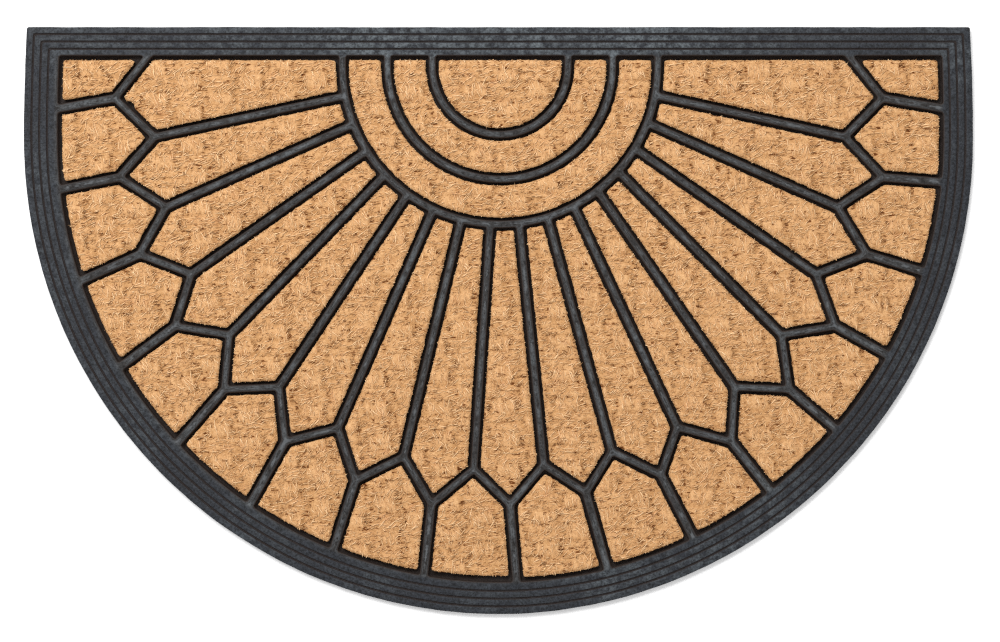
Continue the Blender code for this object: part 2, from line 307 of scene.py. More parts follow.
def divided(loop, counts):
    """The outline with each side cut into so many equal parts."""
    after = np.roll(loop, -1, axis=0)
    return np.array([
        start + (end - start) * part / count
        for start, end, count in zip(loop, after, counts) for part in range(count)
    ])


def resampled(loop, spacing):
    """The outline through points that lie one spacing apart along it."""
    closed = np.vstack((loop, loop[:1]))
    reached = np.concatenate(([0.0], np.cumsum(side_lengths(loop))))
    places = np.linspace(0, reached[-1], ceil(reached[-1] / spacing), endpoint=False)
    return np.column_stack([np.interp(places, reached, closed[:, axis]) for axis in (0, 1)])


def outward(loop):
    """Outward direction at each point of a counter-clockwise outline."""
    along = np.roll(loop, -1, axis=0) - np.roll(loop, 1, axis=0)
    along /= np.linalg.norm(along, axis=1)[:, None]
    return np.column_stack((along[:, 1], -along[:, 0]))


def raised(loop, height):
    """Outline points with their height, or heights, as a third column."""
    return np.column_stack((loop, np.broadcast_to(height, len(loop))))


def is_inside(points, loop):
    """Which points lie within a closed outline."""
    low, high = loop.min(axis=0), loop.max(axis=0)
    near = np.flatnonzero(np.all((points >= low) & (points <= high), axis=1))
    x, y = points[near].T
    within = np.zeros(len(near), bool)
    for (x0, y0), (x1, y1) in zip(loop, np.roll(loop, -1, axis=0)):
        if y0 != y1:
            crosses = (y0 > y) != (y1 > y)
            within ^= crosses & (x < (x1 - x0) * (y - y0) / (y1 - y0) + x0)
    found = np.zeros(len(points), bool)
    found[near[within]] = True
    return found


def hex_grid(low, high, pitch):
    """Points of an even triangular grid that fills a rectangle."""
    rise = pitch * sqrt(3) / 2
    rows = np.arange(ceil((high[1] - low[1]) / rise) + 1)
    columns = np.arange(ceil((high[0] - low[0]) / pitch) + 1)
    column, row = np.meshgrid(columns, rows)
    x = low[0] + pitch * (column + 0.5 * (row % 2))
    y = low[1] + rise * row
    return np.column_stack((x.ravel(), y.ravel()))


def distance_to_sides(points, starts, ends):
    along = ends - starts
    length = np.maximum(np.sum(along * along, axis=1), 1e-18)
    share = np.clip(np.sum((points - starts) * along, axis=1) / length, 0, 1)
    return np.linalg.norm(points - starts - share[:, None] * along, axis=1)


class Rims:
    """Tells how far points lie from a set of closed outlines."""

    def __init__(self, loops):
        self.before = np.vstack([np.roll(loop, 1, axis=0) for loop in loops])
        self.here = np.vstack(loops)
        self.after = np.vstack([np.roll(loop, -1, axis=0) for loop in loops])
        self.tree = KDTree(len(self.here))
        for number, (x, y) in enumerate(self.here):
            self.tree.insert((x, y, 0.0), number)
        self.tree.balance()

    def distance(self, points):
        nearest = np.array([self.tree.find((x, y, 0.0))[1] for x, y in points])
        here = self.here[nearest]
        return np.minimum(
            distance_to_sides(points, self.before[nearest], here),
            distance_to_sides(points, here, self.after[nearest]),
        )


def rough(points, size, seed):
    """Smooth noise at each point, about -0.7 to 0.7, with features of one size."""
    return np.array([noise.noise((x / size, y / size, 17.3 * seed)) for x, y in points])


def smooth_step(low, high, values):
    share = np.clip((values - low) / (high - low), 0, 1)
    return share * share * (3 - 2 * share)


class Shell:
    """Points, faces and point values of one closed mesh while it is made."""

    def __init__(self):
        self.points = []
        self.faces = []
        self.values = []
        self.count = 0

    def add(self, points, **values):
        """Adds points with their named values and returns the points' numbers."""
        numbers = np.arange(self.count, self.count + len(points))
        self.points.append(points)
        self.count += len(points)
        self.values += [(name, numbers, value) for name, value in values.items()]
        return numbers

    def band(self, lower, upper):
        """Faces between two rings of the same count, outwards where upper lies above lower."""
        self.faces += zip(lower, np.roll(lower, -1), np.roll(upper, -1), upper)

    def surface(self, numbers, triangles):
        self.faces += [tuple(numbers[corner] for corner in triangle) for triangle in triangles]

    def make(self, name, material):
        mesh = bpy.data.meshes.new(name)
        mesh.from_pydata(np.vstack(self.points).tolist(), [], [[int(n) for n in face] for face in self.faces])
        for label in sorted({name for name, numbers, value in self.values}):
            self.set_values(mesh, label)
        mesh.materials.append(material)
        mesh.shade_smooth()
        piece = bpy.data.objects.new(name, mesh)
        bpy.context.scene.collection.objects.link(piece)
        return piece

    def set_values(self, mesh, label):
        vector = label == "lie"
        filled = np.zeros((self.count, 3) if vector else self.count)
        for name, numbers, value in self.values:
            if name == label:
                filled[numbers] = value
        layer = mesh.attributes.new(label, "FLOAT_VECTOR" if vector else "FLOAT", "POINT")
        layer.data.foreach_set("vector" if vector else "value", filled.ravel())


def triangulated(outline, holes, inner):
    """Triangles inside an outline and outside its holes; the points keep their order."""
    points = np.vstack([outline, *holes, inner])
    rims, start = [], 0
    for loop in [outline, *holes]:
        rims.append(list(range(start, start + len(loop))))
        start += len(loop)
    made = delaunay_2d_cdt(points.tolist(), [], rims, INSIDE_ONLY, SAME_POINT, True)
    placed, _, faces, _, _, owners = made
    if len(placed) != len(points):
        raise ValueError(f"an outline crosses itself: {len(placed)} points came back for {len(points)}")
    return points, [face for face, owner in zip(faces, owners) if set(owner) == {0}]


def add_node(tree, kind, inputs=None, **settings):
    """New node with its settings; each input is linked to a socket or set to a value."""
    node = tree.nodes.new(kind)
    for name, value in settings.items():
        setattr(node, name, value)
    for key, value in (inputs or {}).items():
        if isinstance(value, bpy.types.NodeSocket):
            tree.links.new(value, node.inputs[key])
        else:
            node.inputs[key].default_value = value
    return node


def maths(tree, operation, first, second=0.0, third=0.0):
    inputs = {0: first, 1: second, 2: third}
    return add_node(tree, "ShaderNodeMath", inputs, operation=operation).outputs[0]


def new_finish(name, roughness, gloss):
    """A material with its tree, shader and Object coordinates."""
    material = bpy.data.materials.new(name)
    material.use_nodes = True
    tree = material.node_tree
    shader = tree.nodes["Principled BSDF"]
    shader.inputs["Roughness"].default_value = roughness
    shader.inputs["Specular IOR Level"].default_value = gloss
    place = tree.nodes.new("ShaderNodeTexCoord").outputs["Object"]
    return material, tree, shader, place


def grain(tree, place, scale, detail=2.0, roughness=0.5, distortion=0.0):
    """Noise over a place, with a scale in features for each metre."""
    inputs = {
        "Vector": place, "Scale": scale, "Detail": detail, "Roughness": roughness, "Distortion": distortion,
    }
    return add_node(tree, "ShaderNodeTexNoise", inputs).outputs["Fac"]


def value_of(tree, name):
    """A named value that the mesh holds."""
    return add_node(tree, "ShaderNodeAttribute", attribute_name=name).outputs["Fac"]


def remapped(tree, value, low, high, to_low=0.0, to_high=1.0):
    inputs = {"Value": value, "From Min": low, "From Max": high, "To Min": to_low, "To Max": to_high}
    return add_node(tree, "ShaderNodeMapRange", inputs, clamp=True).outputs["Result"]


def blended(tree, share, first, second, blend_type="MIX"):
    inputs = {0: share, 6: first, 7: second}
    return add_node(tree, "ShaderNodeMix", inputs, data_type="RGBA", blend_type=blend_type).outputs[2]


def ramp(tree, value, stops):
    """Colour ramp through (place, colour) stops."""
    node = add_node(tree, "ShaderNodeValToRGB", {"Fac": value})
    entries = node.color_ramp.elements
    while len(entries) < len(stops):
        entries.new(0.5)
    for entry, (position, colour) in zip(entries, stops):
        entry.position = position
        entry.color = (*colour, 1.0)
    return node.outputs["Color"]


def bumped(tree, height, strength, distance):
    inputs = {"Height": height, "Strength": strength, "Distance": distance}
    return add_node(tree, "ShaderNodeBump", inputs).outputs["Normal"]


def wear_and_highlight_on_ribs(tree, where, crest, rib):
    """Pale lines along the ribs, partly wear and partly a painted highlight on the crests: the noise changes
    fast across a rib and slowly along it.
    """
    place = add_node(tree, "ShaderNodeCombineXYZ", {
        "X": maths(tree, "MULTIPLY", crest, WEAR_AND_HIGHLIGHT_ACROSS),
        "Y": maths(tree, "MULTIPLY", where["X"], WEAR_AND_HIGHLIGHT_ALONG),
        "Z": maths(tree, "MULTIPLY", where["Y"], WEAR_AND_HIGHLIGHT_ALONG),
    }).outputs["Vector"]
    lines = grain(tree, place, 1.0, 2.0, 0.7)
    worn_and_lit = maths(tree, "MULTIPLY", crest, remapped(tree, lines, 0.46, 0.62))
    return maths(tree, "MULTIPLY", worn_and_lit, rib)


def dust_and_sheen_on_rubber(tree, place, where, crest, speckle, blotch):
    """Dust in patches and a painted sheen at the middle of the straight edge, so most there; neither in the
    grooves.
    """
    patch = grain(tree, place, DUST_SCALE, 3.0)
    near_edge = remapped(tree, where["Y"], *SHEEN_EDGE_RANGE)
    near_middle = remapped(tree, maths(tree, "ABSOLUTE", where["X"]), *SHEEN_MIDDLE_RANGE, 1.0, 0.0)
    # painted sheen: a broad pale patch at the middle of the straight edge
    painted_sheen = maths(tree, "MULTIPLY", near_edge, near_middle)
    dust_and_sheen = maths(tree, "MULTIPLY_ADD", painted_sheen, 0.9, remapped(tree, patch, 0.42, 0.72))
    dust_and_sheen = maths(tree, "MULTIPLY", dust_and_sheen, remapped(tree, blotch, 0.40, 0.62))
    dust_and_sheen = maths(tree, "MULTIPLY", dust_and_sheen, remapped(tree, speckle, 0.38, 0.56, 0.3, 1.0))
    return maths(tree, "MULTIPLY", dust_and_sheen, remapped(tree, crest, 0.0, 0.3))


def rubber_finish():
    """Dark moulded rubber: speckled, with dust in patches and a painted sheen, and paler lines along the ribs
    that are partly wear and partly painted highlight.
    """
    material, tree, shader, place = new_finish("moulded_rubber", 0.62, 0.28)
    crest = value_of(tree, "crest")
    rib = value_of(tree, "rib")
    speckle = grain(tree, place, SPECKLE_SCALE, 3.0, 0.75)
    blotch = grain(tree, place, BLOTCH_SCALE, 3.0, 0.65)
    where = add_node(tree, "ShaderNodeSeparateXYZ", {"Vector": place}).outputs
    worn_and_lit = wear_and_highlight_on_ribs(tree, where, crest, rib)
    dust_and_sheen = dust_and_sheen_on_rubber(tree, place, where, crest, speckle, blotch)

    fresh = blended(tree, rib, FRESH_BORDER, FRESH_RIB)
    scuffed = blended(tree, rib, SCUFFED_BORDER, SCUFFED_RIB)
    base = blended(tree, remapped(tree, speckle, 0.36, 0.64), fresh, scuffed)
    base = blended(tree, remapped(tree, crest, 0.0, 0.2, 0.7, 0.0), base, CHANNEL_RUBBER)
    # dust in patches, with painted sheen near the middle of the straight edge
    base = blended(tree, maths(tree, "MULTIPLY", dust_and_sheen, DUST_AND_SHEEN_SHOWS), base, DUST_AND_SHEEN)
    # pale streaks on the rib crests: partly wear, partly painted highlight
    base = blended(tree, maths(tree, "MULTIPLY", worn_and_lit, WEAR_AND_HIGHLIGHT_SHOWS), base, WEAR_AND_HIGHLIGHT_COLOUR)
    tree.links.new(base, shader.inputs["Base Color"])
    tree.links.new(remapped(tree, blotch, 0.3, 0.7, 0.78, 0.54), shader.inputs["Roughness"])
    relief = maths(tree, "MULTIPLY_ADD", blotch, 1.5, speckle)
    tree.links.new(bumped(tree, relief, 0.9, 0.0005), shader.inputs["Normal"])
    return material


def gaps(tree, place):
    """Where painted shadow goes, in the small curly gaps between strands: 1 in a gap, 0 elsewhere."""
    streaks = add_node(tree, "ShaderNodeMapping", {
        "Vector": place, "Rotation": (0.0, 0.0, -WEFT_LIE), "Scale": (GAP_STRETCH, 1.0, 1.0),
    }).outputs["Vector"]
    fine = grain(tree, streaks, GAP_SCALE, 1.0, 0.5, 1.2)
    coarse = grain(tree, place, GAP_CLUSTER_SCALE, 1.0, 0.5)
    openness = maths(tree, "MULTIPLY_ADD", coarse, GAP_CLUSTERING, fine)
    openness = maths(tree, "MULTIPLY_ADD", value_of(tree, "depth"), -GAPS_IN_DEPTH, openness)
    return remapped(tree, openness, *GAP_BOUNDS, 1.0, 0.0)


def shaded(tree, colour, gap, strength):
    """The colour sunk toward dark brown in the gaps: painted shadow between strands."""
    sunk = blended(tree, 1.0, colour, GAP_SHADE, "MULTIPLY")
    return blended(tree, maths(tree, "MULTIPLY", gap, strength), colour, sunk)


def matting_finish():
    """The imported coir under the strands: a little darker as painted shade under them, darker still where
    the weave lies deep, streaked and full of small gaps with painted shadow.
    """
    material, tree, shader, place = new_finish("coir_matting", 0.95, 0.12)
    fine = grain(tree, place, MATTING_GRAIN, 3.0, 0.65, 0.4)
    # painted shade: darker where the weave lies deep
    tone = maths(tree, "MULTIPLY_ADD", value_of(tree, "depth"), -0.55, fine)
    colour = ramp(tree, maths(tree, "ADD", tone, 0.22), MATTING_COLOURS)
    tree.links.new(shaded(tree, colour, gaps(tree, place), 1.0), shader.inputs["Base Color"])
    tree.links.new(bumped(tree, fine, 0.9, 0.0006), shader.inputs["Normal"])
    return material


def strand_finish():
    """Coir strands: golden, some pale, some reddish brown, with painted shade where they lie deep and painted
    shadow in the gaps.
    """
    material, tree, shader, place = new_finish("coir_strands", 0.85, 0.10)
    patch = maths(tree, "MULTIPLY", grain(tree, place, STRAND_PATCHES, 3.0, 0.6), 0.20)
    fleck = remapped(tree, grain(tree, place, STRAND_FLECKS, 2.0), 0.3, 0.7, 0.06, 0.30)
    mixed = maths(tree, "MULTIPLY_ADD", value_of(tree, "tone"), 0.52, patch)
    mixed = maths(tree, "ADD", mixed, fleck)
    # painted shade: darker where the strands lie deep
    mixed = maths(tree, "MULTIPLY_ADD", value_of(tree, "depth"), -0.16, mixed)
    colour = ramp(tree, mixed, STRAND_COLOURS)
    russet = remapped(tree, grain(tree, place, RUSSET_PATCHES, 2.0, 0.5), 0.55, 0.72, 0.0, 0.40)
    colour = blended(tree, russet, colour, RUSSET)
    # painted shadow in the gaps between strands
    tree.links.new(shaded(tree, colour, gaps(tree, place), STRAND_GAP_SHADOW), shader.inputs["Base Color"])
    return material


def floor_finish():
    material, tree, shader, place = new_finish("studio_floor", 0.9, 0.1)
    tree.links.new(blended(tree, grain(tree, place, 3.0), *FLOOR_TONES), shader.inputs["Base Color"])
    return material


def border_stations():
    """Stations across the border: (share of the way in to the field, height, crest)."""
    def surface(distance):
        return EDGE_HEIGHT + (RIB_HEIGHT - EDGE_HEIGHT) * distance / FIELD_START

    stations = [(inset * MM, height * MM, EDGE_CREST) for inset, height in EDGE_SECTION]
    for number in range(GROOVE_COUNT):
        middle = GROOVE_PITCH * (number + 1)
        land = middle - 0.5 * GROOVE_PITCH
        stations.append((land, surface(land), LAND_CREST))
        for off, drop in GROOVE_SECTION:
            inset = middle + off * MM
            stations.append((inset, surface(inset) - drop * MM, GROOVE_LIP_CREST if drop == 0 else 0.0))
    last = FIELD_START - LAST_LAND
    stations.append((last, surface(last), LAND_CREST))
    return [(inset / FIELD_START, height, crest) for inset, height, crest in stations]


def tray_outlines():
    """The tray's rim, the field of ribs with as many points, and the mouths of the pockets."""
    foot, = flat_loops("rubber_tray", TRAY_FOOT)
    *pockets, field = sorted(flat_loops("rubber_tray", RIB_HEIGHT), key=signed_area)
    start = np.argmin(np.linalg.norm(foot - field[0] * RIM_BESIDE_FIELD, axis=1))
    rim = softened(np.roll(foot, -start, axis=0), OUTER_CORNER)
    field = softened(field, OUTER_CORNER)
    counts = [max(1, ceil(length / BORDER_SPACING - BORDER_STRETCH)) for length in side_lengths(rim)]
    mouths = [resampled(softened(pocket, MOUTH_CORNER), MOUTH_SPACING) for pocket in pockets]
    return divided(rim, counts), divided(field, counts), mouths


def add_border(shell, rim, field):
    """Rings of points from the rim's foot to the last land, outermost first."""
    wobble = rough(rim, WOBBLE_SHORT, 1) + LONG_WOBBLE_SHARE * rough(rim, WOBBLE_LONG, 2)
    wobble = EDGE_WOBBLE * wobble
    rings = []
    for share, height, crest in border_stations():
        outline = rim + (field - rim) * share + outward(rim) * (wobble * (1 - share))[:, None]
        rings.append(shell.add(raised(outline, height), crest=crest, rib=0.0))
    return rings


def rib_field_points(outer, mouths, rims):
    """Grid points on the ribs, clear of every edge."""
    grid = hex_grid(outer.min(axis=0), outer.max(axis=0), RIB_GRID)
    for mouth in mouths:
        grid = grid[~is_inside(grid, mouth)]
    grid = grid[is_inside(grid, outer)]
    return grid[rims.distance(grid) > RIB_CLEARANCE * RIB_GRID]


def add_ribs(shell, field, mouths):
    """Crowned tops of the ribs; returns their points, the field's outline and the mouths first."""
    grid = rib_field_points(field, mouths, Rims(mouths + [field]))
    places, triangles = triangulated(field, mouths, grid)
    from_mouth = Rims(mouths).distance(places)
    from_field = Rims([field]).distance(places)
    crown = np.clip(from_mouth / RIB_HALF_TOP, 0, 1)
    height = RIB_HEIGHT + RIB_CROWN * (1 - (1 - crown) ** 2) * np.clip(from_field / RIB_HALF_TOP, 0, 1)
    numbers = shell.add(
        np.column_stack((places, height)), crest=smooth_step(*CREST_RISES, crown),
        rib=smooth_step(*RIB_FINISH_FROM, from_field),
    )
    shell.surface(numbers, triangles)
    return numbers


def add_pocket(shell, mouth, above):
    """One pocket's walls and floor, below the points of its mouth."""
    for inset, level in WALL_SECTION:
        below = shell.add(raised(mouth - outward(mouth) * inset * MM, level * MM), crest=0.0, rib=1.0)
        shell.band(above, below)
        above = below
    shell.faces.append(above)


def make_tray(material):
    """The rubber tray: rounded rim, grooved border, crowned ribs, pocket walls and floors."""
    rim, field, mouths = tray_outlines()
    shell = Shell()
    rings = add_border(shell, rim, field)
    numbers = add_ribs(shell, field, mouths)
    rings.append(numbers[:len(field)])
    for lower, upper in zip(rings, rings[1:]):
        shell.band(lower, upper)
    shell.faces.append(rings[0][::-1])
    begin = len(field)
    for mouth in mouths:
        add_pocket(shell, mouth, numbers[begin:begin + len(mouth)])
        begin += len(mouth)
    return shell.make("moulded_rubber_tray", material)


def off_nearest_block(place):
    """How far places, given in repeats, lie off the middle of the nearest block of warps."""
    pitch = np.array((np.linalg.norm(WEFT_REPEAT), np.linalg.norm(WARP_REPEAT)))
    first = (place - np.round(place)) * pitch
    second = (place - 0.5 - np.round(place - 0.5)) * pitch
    nearer = np.linalg.norm(first, axis=1) < np.linalg.norm(second, axis=1)
    return np.where(nearer[:, None], first, second)


def yarn_tops(across):
    """Height, up to 1, of round yarns that lie side by side, one to each step across."""
    off_middle = across % 1 - 0.5
    return np.sqrt(1 - (YARN_ROUNDNESS * off_middle) ** 2)


def weave_at(points):
    """The weave at each point: height off the middle, direction of the strands, depth."""
    drift = np.column_stack([rough(points, WEAVE_DRIFT_SIZE, seed) for seed in (3, 4)]) * WEAVE_DRIFT
    repeat = np.column_stack((WEFT_REPEAT, WARP_REPEAT))
    place = (points + drift - BLOCK_MIDDLE) @ np.linalg.inv(repeat).T
    off = off_nearest_block(place)
    beside = np.abs(off[:, 0]) - BLOCK_WIDTH / 2
    above = np.abs(off[:, 1]) - BLOCK_HEIGHT / 2
    block = smooth_step(BLOCK_SOFTNESS, -BLOCK_SOFTNESS, np.maximum(beside, above))

    weft = yarn_tops(place[:, 1] * WEFTS_IN_REPEAT)
    arch = np.cos(np.clip(off[:, 1] / BLOCK_HEIGHT, -0.5, 0.5) * WARP_ARCH)
    warp = yarn_tops(off[:, 0] / BLOCK_WIDTH * WARPS_IN_BLOCK) * arch
    dive = np.exp(-((beside - DIVE_OFFSET) / DIVE_WIDTH) ** 2)
    dive *= smooth_step(DIVE_SOFTNESS, -DIVE_SOFTNESS, above)
    dive *= np.where(off[:, 0] > 0, 1.0, LEFT_DIVE_SHARE)
    lumps = rough(points, LUMP_SIZES[0], 5) + SMALL_LUMP_SHARE * rough(points, LUMP_SIZES[1], 6)
    height = (
        YARN_RELIEF * ((1 - block) * weft + block * warp - YARN_MIDDLE) + WARP_LIFT * block
        - DIVE_DEPTH * dive * (1 - block) + LUMP_RELIEF * lumps
    )

    turned = rough(points, LIE_DRIFT_SIZES[0], 7) + LONG_LIE_SHARE * rough(points, LIE_DRIFT_SIZES[1], 8)
    angle = (1 - block) * WEFT_LIE + block * WARP_LIE + LIE_DRIFT * turned
    lie = np.column_stack((np.cos(angle), np.sin(angle), np.zeros(len(angle))))
    depth = np.clip(MIDDLE_DEPTH - height / DEPTH_RANGE, 0, 1)
    return height, lie, depth


def chipped(edge):
    """The outline with a round bite taken out where it runs past the chip."""
    bitten = np.linalg.norm(edge - CHIP_PLACE, axis=1) < CHIP_REACH
    if not bitten.any():
        return edge
    start = np.flatnonzero(bitten & ~np.roll(bitten, 1))[0]
    kept = np.roll(edge, -start, axis=0)[bitten.sum():]
    leaving, meeting, middle = (
        np.arctan2(*(point - CHIP_PLACE)[::-1]) for point in (kept[-1], kept[0], edge.mean(axis=0))
    )
    sweep = (meeting - leaving) % (2 * np.pi)
    if (middle - leaving) % (2 * np.pi) > sweep:
        sweep -= 2 * np.pi
    steps = ceil(abs(sweep) * CHIP_REACH / COIR_SPACING)
    turns = leaving + sweep * np.arange(1, steps) / steps
    return np.vstack((CHIP_PLACE + CHIP_REACH * np.column_stack((np.cos(turns), np.sin(turns))), kept))


def cut_edge(loop):
    """A coir panel's outline, a little ragged and with the bite where it has one."""
    edge = resampled(chipped(resampled(softened(loop, 0.0), COIR_SPACING)), COIR_SPACING)
    ragged = rough(edge, RAGGED_SIZES[0], 9) + LONG_RAGGED_SHARE * rough(edge, RAGGED_SIZES[1], 10)
    ragged = COIR_RAGGED * ragged
    return edge + outward(edge) * ragged[:, None]


def make_matting(node, piece_name, material):
    """One panel of woven coir with its relief, a softened upper edge and a level underside."""
    solid, = flat_loops(node, COIR_FOOT)
    edge = cut_edge(solid)
    rims = Rims([edge])
    grid = hex_grid(edge.min(axis=0), edge.max(axis=0), COIR_GRID)
    grid = grid[is_inside(grid, edge)]
    grid = grid[rims.distance(grid) > COIR_CLEARANCE * COIR_GRID]
    places, triangles = triangulated(edge, [], grid)
    from_edge = rims.distance(places)
    inner = np.clip(from_edge / COIR_EDGE_WIDTH, 0, 1)
    relief, lie, depth = weave_at(places)
    relief = relief * (EDGE_RELIEF + (1 - EDGE_RELIEF) * inner)
    height = COIR_TOP + relief - COIR_EDGE_DROP * (1 - inner) ** 2
    shell = Shell()
    top = shell.add(
        np.column_stack((places, height)), lie=lie, depth=depth, pile=1.0,
        rim=smooth_step(*STRAY_STRIP, from_edge),
        room=np.clip(ROOM_AT_EDGE + from_edge / ROOM_REACH, 0, 1),
    )
    shell.surface(top, triangles)
    upper = top[:len(edge)]
    for level, inset in ((SIDE_MIDDLE, 0.0), (COIR_FOOT, FOOT_INSET)):
        lower = shell.add(raised(edge - outward(edge) * inset, level), depth=SIDE_DEPTH)
        shell.band(lower, upper)
        upper = lower
    shell.faces.append(upper[::-1])
    return shell.make(piece_name, material), edge


def seeded(tree, group, offset, low, high):
    """A random number for each strand, from a fixed seed."""
    seed = maths(tree, "ADD", group["Seed"], float(offset))
    inputs = {"Min": low, "Max": high, "Seed": seed}
    node = tree.nodes.new("FunctionNodeRandomValue")
    for socket in node.inputs:
        if socket.enabled and socket.name in inputs:
            value = inputs[socket.name]
            if isinstance(value, bpy.types.NodeSocket):
                tree.links.new(value, socket)
            else:
                socket.default_value = value
    return next(socket for socket in node.outputs if socket.enabled)


def read_value(tree, name, data_type="FLOAT"):
    node = add_node(tree, "GeometryNodeInputNamedAttribute", {"Name": name}, data_type=data_type)
    return node.outputs["Attribute"]


def point_place(tree):
    return tree.nodes.new("GeometryNodeInputPosition").outputs["Position"]


def vector_maths(tree, operation, inputs):
    return add_node(tree, "ShaderNodeVectorMath", inputs, operation=operation).outputs[0]


def moved(tree, strands, **inputs):
    return add_node(tree, "GeometryNodeSetPosition", {"Geometry": strands, **inputs}).outputs["Geometry"]


def hump_along(tree):
    """0 at both ends of a strand and 1 at its middle."""
    along = tree.nodes.new("GeometryNodeSplineParameter").outputs["Factor"]
    rest = maths(tree, "SUBTRACT", 1.0, along)
    return maths(tree, "MULTIPLY", maths(tree, "MULTIPLY", along, rest), 4.0)


def scattered_roots(tree, group):
    """Roots scattered where the panel grows fibres, each with its own tone."""
    density = maths(tree, "MULTIPLY", read_value(tree, group["Grows on"]), group["Density"])
    roots = add_node(
        tree, "GeometryNodeDistributePointsOnFaces",
        {"Mesh": group["Geometry"], "Density": density, "Seed": group["Seed"]}, distribute_method="RANDOM",
    ).outputs["Points"]
    return add_node(
        tree, "GeometryNodeStoreNamedAttribute",
        {"Geometry": roots, "Name": "tone", "Value": seeded(tree, group, 1, 0.0, 1.0)},
        data_type="FLOAT", domain="POINT",
    ).outputs["Geometry"]


def straight_strands(tree, group, roots):
    """A straight strand on every root, turned along the weave and shorter near the edge."""
    line = add_node(
        tree, "GeometryNodeCurvePrimitiveLine", {"Start": (-0.5, 0.0, 0.0), "End": (0.5, 0.0, 0.0)}
    ).outputs["Curve"]
    line = add_node(
        tree, "GeometryNodeResampleCurve", {"Curve": line, "Count": group["Points"]}
    ).outputs["Curve"]
    lie = read_value(tree, "lie", "FLOAT_VECTOR")
    laid = add_node(tree, "FunctionNodeAlignRotationToVector", {"Vector": lie}, axis="X").outputs["Rotation"]
    spread = maths(tree, "MULTIPLY", seeded(tree, group, 2, -1.0, 1.0), group["Spread"])
    turn = add_node(tree, "FunctionNodeAxisAngleToRotation", {"Axis": (0.0, 0.0, 1.0), "Angle": spread})
    laid = add_node(
        tree, "FunctionNodeRotateRotation",
        {"Rotation": laid, "Rotate By": turn.outputs["Rotation"]}, rotation_space="LOCAL",
    ).outputs["Rotation"]
    length = maths(tree, "MULTIPLY", group["Length"], seeded(tree, group, 3, *LENGTH_SHARES))
    length = maths(tree, "MULTIPLY", length, read_value(tree, "room"))
    scale = add_node(tree, "ShaderNodeCombineXYZ", {"X": length, "Y": 1.0, "Z": 1.0}).outputs["Vector"]
    strands = add_node(
        tree, "GeometryNodeInstanceOnPoints",
        {"Points": roots, "Instance": line, "Rotation": laid, "Scale": scale},
    ).outputs["Instances"]
    return add_node(tree, "GeometryNodeRealizeInstances", {"Geometry": strands}).outputs["Geometry"]


def bent_sideways(tree, group, strands):
    """The strands with sideways bends, different for each strand."""
    variety = maths(tree, "MULTIPLY", read_value(tree, "tone"), BEND_VARIETY)
    wander = add_node(
        tree, "ShaderNodeTexNoise", {"Vector": point_place(tree), "W": variety, "Scale": BEND_SCALE},
        noise_dimensions="4D",
    ).outputs["Color"]
    wander = vector_maths(tree, "SUBTRACT", {0: wander, 1: (0.5, 0.5, 0.5)})
    wander = vector_maths(tree, "MULTIPLY", {0: wander, 1: (1.0, 1.0, 0.0)})
    wander = vector_maths(tree, "SCALE", {0: wander, "Scale": group["Wiggle"]})
    return moved(tree, strands, Offset=wander)


def draped(tree, group, strands):
    """The strands laid down on the relief, with the middle arched up and the ends tucked in."""
    above = vector_maths(tree, "ADD", {0: point_place(tree), 1: (0.0, 0.0, DROP_HEIGHT)})
    hit = add_node(tree, "GeometryNodeRaycast", {
        "Target Geometry": group["Geometry"], "Source Position": above,
        "Ray Direction": (0.0, 0.0, -1.0), "Ray Length": 2 * DROP_HEIGHT,
    }).outputs
    ground = add_node(tree, "ShaderNodeSeparateXYZ", {"Vector": hit["Hit Position"]}).outputs["Z"]
    here = add_node(tree, "ShaderNodeSeparateXYZ", {"Vector": point_place(tree)}).outputs
    ground = add_node(
        tree, "GeometryNodeSwitch", {"Switch": hit["Is Hit"], "False": here["Z"], "True": ground},
        input_type="FLOAT",
    ).outputs["Output"]
    hump = hump_along(tree)
    arch = maths(tree, "ADD", read_value(tree, "tone"), LEAST_ARCH)
    arch = maths(tree, "MULTIPLY", group["Arch"], arch)
    rise = maths(tree, "MULTIPLY_ADD", hump, arch, ground)
    rise = maths(tree, "MULTIPLY_ADD", maths(tree, "SUBTRACT", hump, LIFTED_ABOVE), group["Lift"], rise)
    settled = add_node(tree, "ShaderNodeCombineXYZ", {"X": here["X"], "Y": here["Y"], "Z": rise})
    return moved(tree, strands, Position=settled.outputs["Vector"])


def skinned(tree, group, strands):
    """Three-sided skins round the strands, tapered to each end."""
    thinnest, thickest = GIRTH_SHARES
    taper = maths(tree, "MULTIPLY_ADD", hump_along(tree), 1 - TIP_SHARE, TIP_SHARE)
    girth = maths(tree, "MULTIPLY", group["Radius"], taper)
    share = maths(tree, "MULTIPLY_ADD", read_value(tree, "tone"), thickest - thinnest, thinnest)
    section = add_node(tree, "GeometryNodeCurvePrimitiveCircle", {"Resolution": 3, "Radius": 1.0})
    skin = add_node(tree, "GeometryNodeCurveToMesh", {
        "Curve": strands, "Profile Curve": section.outputs["Curve"],
        "Scale": maths(tree, "MULTIPLY", girth, share), "Fill Caps": True,
    }).outputs["Mesh"]
    return add_node(tree, "GeometryNodeSetShadeSmooth", {"Geometry": skin}).outputs["Geometry"]


